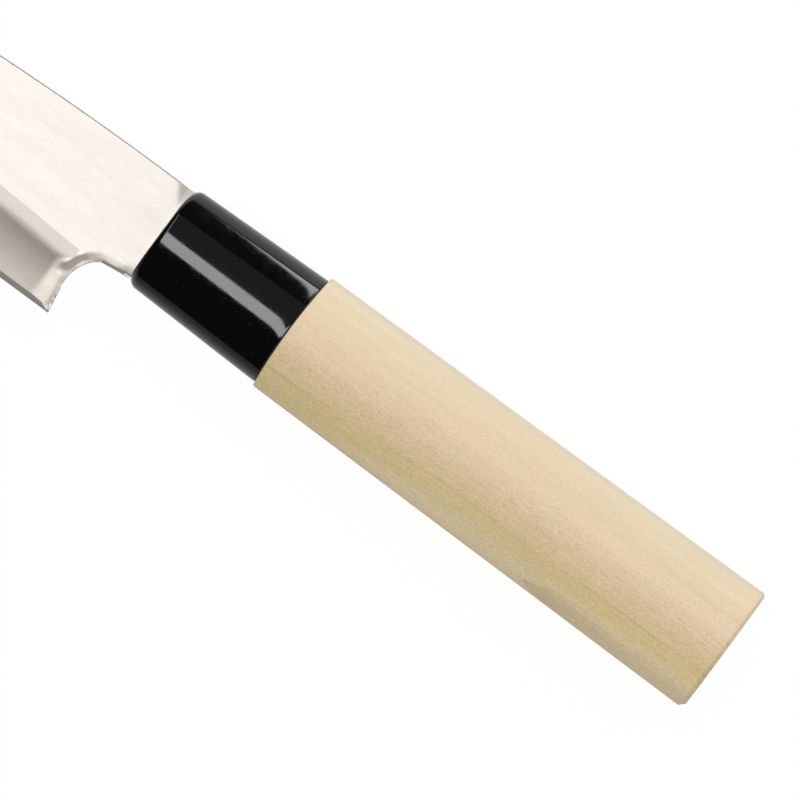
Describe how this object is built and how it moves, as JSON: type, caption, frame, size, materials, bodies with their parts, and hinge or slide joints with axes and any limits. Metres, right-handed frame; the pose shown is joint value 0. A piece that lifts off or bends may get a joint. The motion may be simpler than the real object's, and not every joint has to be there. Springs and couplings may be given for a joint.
{
  "type": "paring knife",
  "caption": "Small kitchen knife: satin steel blade ground on both faces, hidden tang, glossy black resin ferrule and an oval pale wood grip that widens to the butt.",
  "frame": {"origin": "on the table, under the middle of the box round the knife, which lies on its right side", "axes": "+X from the tip to the butt, +Y from the edge to the spine, +Z out of the blade's left face"},
  "size_m": [0.228, 0.033, 0.0192],
  "materials": {
    "blade": "satin, brushed along the blade",
    "ferrule": "polished black resin",
    "grip": "sanded pale hardwood, no varnish",
    "tang_adhesive": "cured amber adhesive"
  },
  "bodies": {
    "root": {"blade": "blade", "ferrule": "ferrule", "grip": "grip", "tang_adhesive": "tang_adhesive"}
  },
  "joints": []
}
